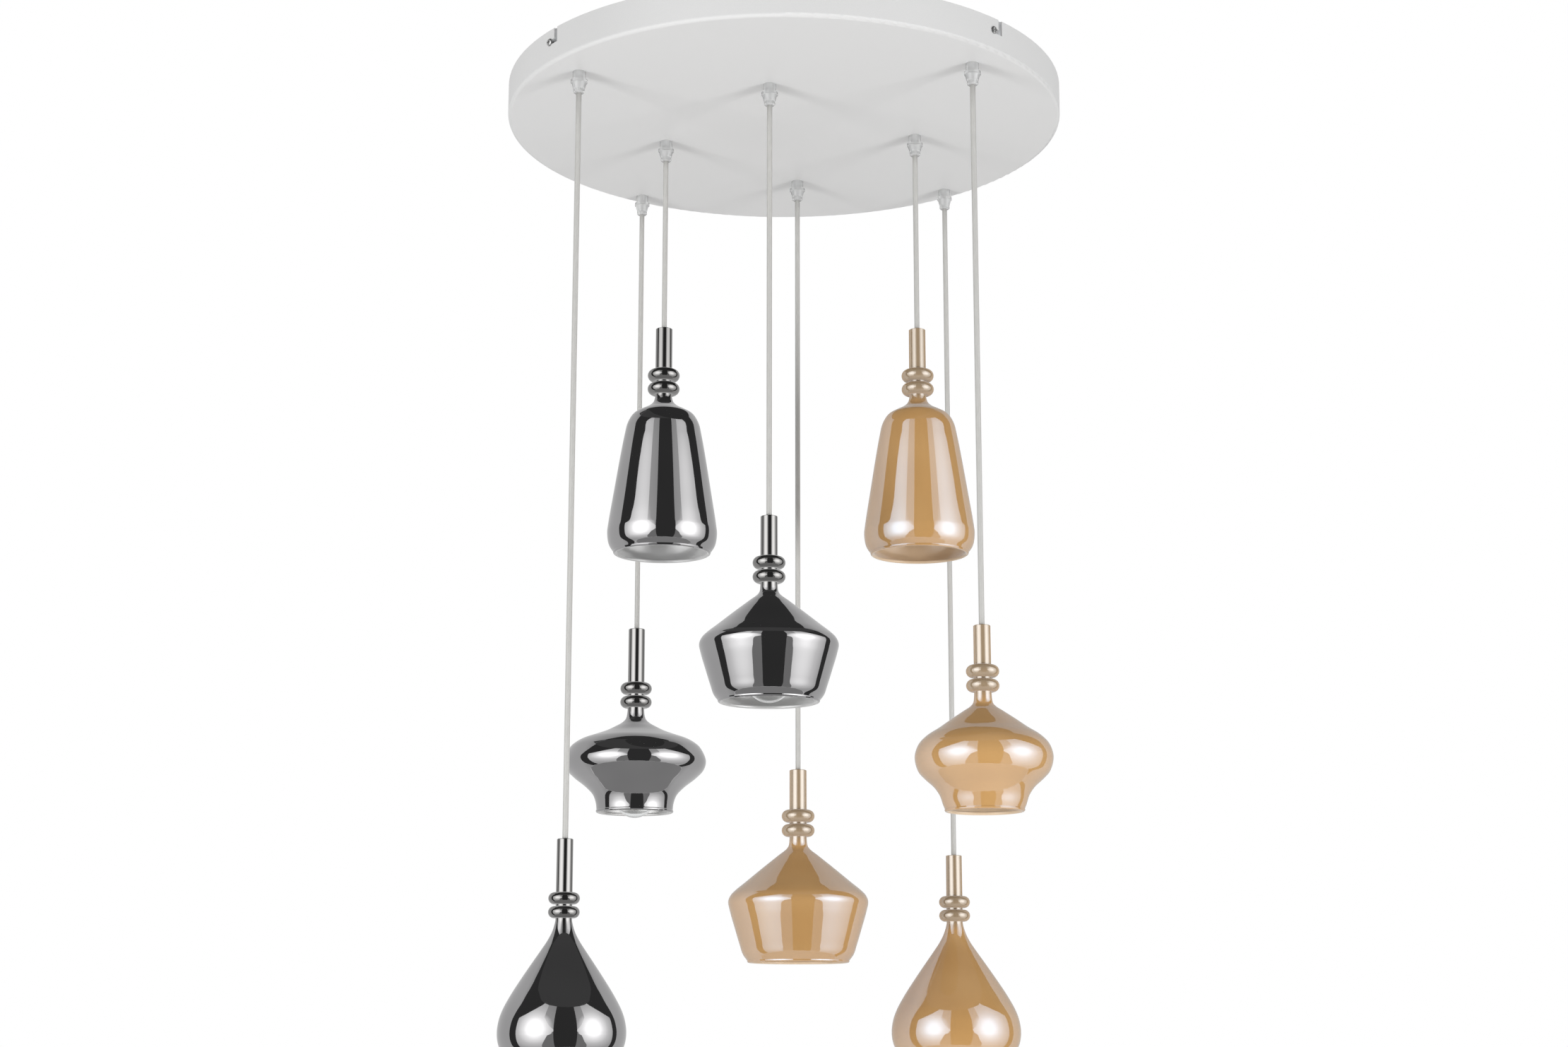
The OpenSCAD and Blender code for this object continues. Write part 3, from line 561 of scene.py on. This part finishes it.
def bulb(name):
    node = f"bulb_{name}"
    low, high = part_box(node)
    axis = box_middle(node)
    top = low.z + BULB_LENGTH
    mast_low = top - MAST_LENGTH
    lower_z = top - 0.012 - FILAMENT_LENGTH
    fans = [math.radians(45 + 360 / FILAMENTS * k) for k in range(FILAMENTS)]
    upper = [Vector((0.0012 * math.cos(a), 0.0012 * math.sin(a), mast_low)) for a in fans]
    lower = [
        Vector((FILAMENT_SPREAD * math.cos(a), FILAMENT_SPREAD * math.sin(a), lower_z))
        for a in fans
    ]
    glow = [(u.lerp(v, 0.06), u.lerp(v, 0.94)) for u, v in zip(upper, lower)]
    wires = [(u, u.lerp(v, 0.08)) for u, v in zip(upper, lower)]
    wires += [(u.lerp(v, 0.92), v) for u, v in zip(upper, lower)]
    wires += [(lower[k], lower[(k + 1) % FILAMENTS]) for k in range(FILAMENTS)]
    envelope = bulb_envelope(low.z)
    cap = bulb_cap(top - 0.0005)
    mast = [
        (0, mast_low), (0.0016, mast_low), (0.0022, mast_low + 0.002),
        (0.0019, mast_low + 0.009), (0.0034, top), (0, top),
    ]
    parts = [
        ("envelope", turned_mesh(node, envelope, (), BULB_STEPS, False), bulb_glass),
        ("bulb_cap", turned_mesh(node, cap, (), BULB_STEPS, False), cap_metal),
        ("bulb_mast", turned_mesh(node, mast, (), THIN_STEPS, False), bulb_glass),
        ("filaments", sticks_mesh(node, glow, FILAMENT_RADIUS), filament_coat),
        ("filament_wires", sticks_mesh(node, wires, WIRE_RADIUS), cap_metal),
    ]
    for part, mesh, material in parts:
        piece = link(f"{part}_{name}", mesh, material, (axis.x, axis.y, 0))
        piece.visible_glossy = False
        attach(piece, f"pendant_{name}")
    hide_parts(node)


for name in PENDANTS:
    bulb(name)


# Pieces with the CAD's own form that the glass doesn't mirror, as each lamp of the photograph
# hung alone in its studio
def stand_in(node, name, material, body):
    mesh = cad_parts[node].data.copy()
    mesh.materials.clear()
    piece = link(name, mesh, material)
    piece.matrix_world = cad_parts[node].matrix_world.copy()
    piece.visible_glossy = False
    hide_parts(node)
    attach(piece, body)


stand_in("canopy", "canopy_pan", powder_white, "ceiling_unit")
stand_in("cord_grip_bases", "grip_bases", clear_plastic, "ceiling_unit")
stand_in("cord_grip_nuts", "grip_nuts", clear_plastic, "ceiling_unit")
for name in PENDANTS:
    body = f"pendant_{name}"
    stand_in(f"stem_{name}", f"stem_tube_{name}", turned_steel, body)
    stand_in(f"holder_{name}", f"lamp_holder_{name}", holder_plastic, body)
    stand_in(f"seat_{name}", f"rubber_seat_{name}", seat_rubber, body)


# Finishes of the CAD nodes that stay
def finish_node(node, material):
    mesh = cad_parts[node].data
    mesh.materials.clear()
    mesh.materials.append(material)


CEILING_FINISHES = {
    "mounting_bracket": zinc,
    "side_screws": turned_steel,
    "junction_box": box_plastic,
    "junction_lid": box_plastic,
    "terminal_strips": terminal_plastic,
    "lock_nuts": clear_plastic,
    "cable_tails": cable_jacket,
    "earth_lead": earth_plastic,
    "earth_stud": turned_steel,
}
for node, material in CEILING_FINISHES.items():
    finish_node(node, material)


# Studio: pale floor that fades into the white background
AMBIENT = 0.48
FLOOR_FADE = (1.2, 5.0)


def seen_directly(nodes, links):
    """1 for camera, mirror and glass rays, 0 for the light that falls on the object."""
    path = nodes.new("ShaderNodeLightPath")
    total = nodes.new("ShaderNodeMath")
    total.operation = "ADD"
    capped = nodes.new("ShaderNodeMath")
    capped.operation = "ADD"
    capped.use_clamp = True
    links.new(path.outputs["Is Camera Ray"], total.inputs[0])
    links.new(path.outputs["Is Glossy Ray"], total.inputs[1])
    links.new(total.outputs[0], capped.inputs[0])
    links.new(path.outputs["Is Transmission Ray"], capped.inputs[1])
    return capped.outputs[0]


world = bpy.data.worlds.new("studio")
world.use_nodes = True
bpy.context.scene.world = world
world_nodes, world_links = world.node_tree.nodes, world.node_tree.links
world_nodes.clear()
ambient = world_nodes.new("ShaderNodeBackground")
ambient.inputs["Color"].default_value = (1, 1, 1, 1)
ambient.inputs["Strength"].default_value = AMBIENT
white = world_nodes.new("ShaderNodeBackground")
white.inputs["Color"].default_value = (1, 1, 1, 1)
white.inputs["Strength"].default_value = 1.0
chosen = world_nodes.new("ShaderNodeMixShader")
sky = world_nodes.new("ShaderNodeOutputWorld")
world_links.new(seen_directly(world_nodes, world_links), chosen.inputs["Fac"])
world_links.new(ambient.outputs["Background"], chosen.inputs[1])
world_links.new(white.outputs["Background"], chosen.inputs[2])
world_links.new(chosen.outputs["Shader"], sky.inputs["Surface"])

floor_material, floor_shader = principled("studio_floor", Roughness=0.9)
floor_nodes, floor_links = floor_material.node_tree.nodes, floor_material.node_tree.links
tint(floor_material, floor_shader, grain(floor_material, 30), (0.9, 0.9, 0.9), (0.93, 0.93, 0.93))
floor_place = floor_nodes.new("ShaderNodeTexCoord")
floor_reach = floor_nodes.new("ShaderNodeVectorMath")
floor_reach.operation = "LENGTH"
floor_fade = floor_nodes.new("ShaderNodeMapRange")
floor_fade.inputs["From Min"].default_value = FLOOR_FADE[0]
floor_fade.inputs["From Max"].default_value = FLOOR_FADE[1]
floor_share = floor_nodes.new("ShaderNodeMath")
floor_share.operation = "MULTIPLY"
floor_white = floor_nodes.new("ShaderNodeEmission")
floor_mix = floor_nodes.new("ShaderNodeMixShader")
floor_links.new(floor_place.outputs["Object"], floor_reach.inputs[0])
floor_links.new(floor_reach.outputs["Value"], floor_fade.inputs["Value"])
floor_links.new(floor_fade.outputs["Result"], floor_share.inputs[0])
floor_links.new(seen_directly(floor_nodes, floor_links), floor_share.inputs[1])
floor_links.new(floor_share.outputs[0], floor_mix.inputs["Fac"])
floor_links.new(floor_shader.outputs["BSDF"], floor_mix.inputs[1])
floor_links.new(floor_white.outputs["Emission"], floor_mix.inputs[2])
floor_links.new(floor_mix.outputs["Shader"], floor_nodes["Material Output"].inputs["Surface"])

bpy.ops.mesh.primitive_circle_add(
    vertices=64, radius=FLOOR_RADIUS, fill_type="NGON", location=(0, 0, FLOOR_Z))
floor = bpy.context.object
floor.name = "studio_floor"
floor.data.materials.append(floor_material)
floor.visible_glossy = False


# Reflection cards: round the object, seen by its gloss alone
def on_studio(azimuth, elevation):
    """Point of the studio's sphere. Azimuth 0 is the camera's side."""
    a, e = math.radians(azimuth), math.radians(elevation)
    return (cad_low + cad_high) / 2 + STUDIO_RADIUS * Vector((
        math.sin(a) * math.cos(e), -math.cos(a) * math.cos(e), math.sin(e)))


def card_piece(name, mesh, stops, centre):
    """A shining card; stops are (share of the studio's radius from the centre, brightness)."""
    material = bpy.data.materials.new(name)
    material.use_nodes = True
    material.cycles.emission_sampling = "NONE"
    nodes, links = material.node_tree.nodes, material.node_tree.links
    nodes.clear()
    place = nodes.new("ShaderNodeTexCoord")
    away = nodes.new("ShaderNodeVectorMath")
    away.operation = "DISTANCE"
    away.inputs[1].default_value = centre
    share = nodes.new("ShaderNodeMapRange")
    share.inputs["From Max"].default_value = STUDIO_RADIUS
    ramp = nodes.new("ShaderNodeValToRGB")
    top = max(b for _, b in stops)
    while len(ramp.color_ramp.elements) < len(stops):
        ramp.color_ramp.elements.new(0.5)
    for element, (position, brightness) in zip(ramp.color_ramp.elements, stops):
        element.position = position
        element.color = (brightness / top, brightness / top, brightness / top, 1)
    shine = nodes.new("ShaderNodeEmission")
    shine.inputs["Strength"].default_value = top
    out = nodes.new("ShaderNodeOutputMaterial")
    links.new(place.outputs["Object"], away.inputs[0])
    links.new(away.outputs["Value"], share.inputs["Value"])
    links.new(share.outputs["Result"], ramp.inputs["Fac"])
    links.new(ramp.outputs["Color"], shine.inputs["Color"])
    links.new(shine.outputs["Emission"], out.inputs["Surface"])
    obj = link(name, mesh, material)
    obj.visible_camera = False
    obj.visible_diffuse = False
    obj.visible_transmission = False
    obj.visible_shadow = False


def side_at(side, elevation):
    """Azimuth of a card's side: one number, or a list of (elevation, azimuth) corners."""
    if not isinstance(side, list):
        return side
    for (e0, a0), (e1, a1) in zip(side, side[1:]):
        if elevation <= e1:
            return a0 + (a1 - a0) * (elevation - e0) / (e1 - e0)
    return side[-1][1]


def card(name, azimuth, elevation, stops, centre=(0, 0)):
    """A curved card round the object, from its least to its most azimuth and elevation."""
    bm = bmesh.new()
    across, up = 16, 46
    rows = []
    for j in range(up + 1):
        high = elevation[0] + (elevation[1] - elevation[0]) * j / up
        start, end = side_at(azimuth[0], high), side_at(azimuth[1], high)
        rows.append([
            bm.verts.new(on_studio(start + (end - start) * k / across, high))
            for k in range(across + 1)])
    for low_row, high_row in zip(rows, rows[1:]):
        for k in range(across):
            bm.faces.new((low_row[k], low_row[k + 1], high_row[k + 1], high_row[k]))
    mesh = bpy.data.meshes.new(name)
    bm.to_mesh(mesh)
    bm.free()
    card_piece(name, mesh, stops, on_studio(*centre))


def round_card(name, radius, height, stops):
    """A level round card."""
    bm = bmesh.new()
    bmesh.ops.create_circle(bm, cap_ends=True, segments=64, radius=radius)
    bmesh.ops.translate(bm, verts=bm.verts, vec=(0, 0, height))
    mesh = bpy.data.meshes.new(name)
    bm.to_mesh(mesh)
    bm.free()
    card_piece(name, mesh, stops, Vector())


def plain(brightness):
    """Stops of a card that is evenly bright."""
    return [(0, brightness), (1, brightness)]


# How bright the cards are
DARK = 0.05
CEILING = 0.085
FLOOR = 0.37
SOFTBOX = [(0, 2.9), (0.22, 2.6), (0.38, 1.75), (0.58, 1.1), (0.85, 0.65)]
BACKDROP = [(0, 0.66), (0.7, 0.66), (1, 0.45)]
SCREEN_LOW = 0.3
SCREEN_HIGH = [(0, 1.5), (0.42, 1.3), (0.55, 0.62), (0.9, 0.45)]
# Where the cards end. The inner sides of the softboxes run to a point a little under the middle
# of their height, because screens stand before their upper and lower corners.
LOW, HIGH = -46, 46
INNER_LEFT, INNER_RIGHT = -12, 29
LEFT_SIDE = [
    (LOW, -38), (-36, -35), (-27, -30), (-12, -22), (-4, INNER_LEFT), (2, INNER_LEFT),
    (12, -22), (24, -31), (HIGH, -31),
]
RIGHT_SIDE = [
    (LOW, 54), (-36, 51), (-27, 44), (-12, 37), (-4, INNER_RIGHT), (2, INNER_RIGHT),
    (12, 38), (24, 46), (HIGH, 46),
]
LEFT_END = [(LOW, -82), (16, -82), (HIGH, -42)]
RIGHT_END = [(LOW, 106), (16, 106), (HIGH, 66)]
SCREENS_LOW, SCREENS_HIGH = (LOW, -4), (2, HIGH)
LEFT_CENTRE, RIGHT_CENTRE = (-44, 2), (60, 2)
BACK_RIGHT, BACK_MIDDLE, BACK_LEFT, BACK_TOP = 119, 190, 262, 58
CEILING_OVERLAP = 0.5

card("softbox_left", (LEFT_END, LEFT_SIDE), (LOW, HIGH), SOFTBOX, LEFT_CENTRE)
card("softbox_right", (RIGHT_SIDE, RIGHT_END), (LOW, HIGH), SOFTBOX, RIGHT_CENTRE)
card("screen_left_low", (LEFT_SIDE, INNER_LEFT), SCREENS_LOW, plain(SCREEN_LOW))
card("screen_right_low", (INNER_RIGHT, RIGHT_SIDE), SCREENS_LOW, plain(SCREEN_LOW))
card("screen_left_high", (LEFT_SIDE, INNER_LEFT), SCREENS_HIGH, SCREEN_HIGH, LEFT_CENTRE)
card("screen_right_high", (INNER_RIGHT, RIGHT_SIDE), SCREENS_HIGH, SCREEN_HIGH, RIGHT_CENTRE)
card("flag_front", (INNER_LEFT, INNER_RIGHT), (LOW, HIGH), plain(DARK))
card("flag_left", (BACK_LEFT - 360, LEFT_END), (LOW, HIGH), plain(DARK))
card("flag_right", (RIGHT_END, BACK_RIGHT), (LOW, HIGH), plain(DARK))
card("flag_ceiling", (-BACK_RIGHT, BACK_RIGHT), (HIGH - CEILING_OVERLAP, 90), plain(CEILING))
card("flag_zenith", (BACK_RIGHT, 360 - BACK_RIGHT), (BACK_TOP, 90), plain(DARK))
card("backdrop_right", (BACK_RIGHT, BACK_MIDDLE), (LOW, BACK_TOP), BACKDROP, (155, 0))
card("backdrop_left", (BACK_MIDDLE, BACK_LEFT), (LOW, BACK_TOP), BACKDROP, (225, 0))
card("floor_grey", (-180, 180), (-90, LOW), plain(FLOOR))
# A dark disc in the canopy's place, because the canopy itself isn't mirrored
round_card("flag_canopy", 0.284, cad_high.z - 0.0334, plain(DARK))


# Plain soft lamps at the lower left and right of the camera
LAMP_SIZE = (0.9, 1.3)
LAMP_POWER = 46
LAMP_AIM = (0, 0, -0.35)


def soft_lamp(name, at):
    data = bpy.data.lights.new(name, "AREA")
    data.shape = "RECTANGLE"
    data.size, data.size_y = LAMP_SIZE
    data.energy = LAMP_POWER
    obj = bpy.data.objects.new(name, data)
    obj.location = at
    obj.rotation_euler = (Vector(LAMP_AIM) - Vector(at)).to_track_quat("-Z", "Y").to_euler()
    bpy.context.scene.collection.objects.link(obj)
    obj.visible_camera = False
    obj.visible_glossy = False
    obj.visible_transmission = False


soft_lamp("lamp_left", (-2.3, -2.1, -1.5))
soft_lamp("lamp_right", (2.3, -2.1, -1.5))

bpy.context.scene.view_settings.view_transform = "Standard"
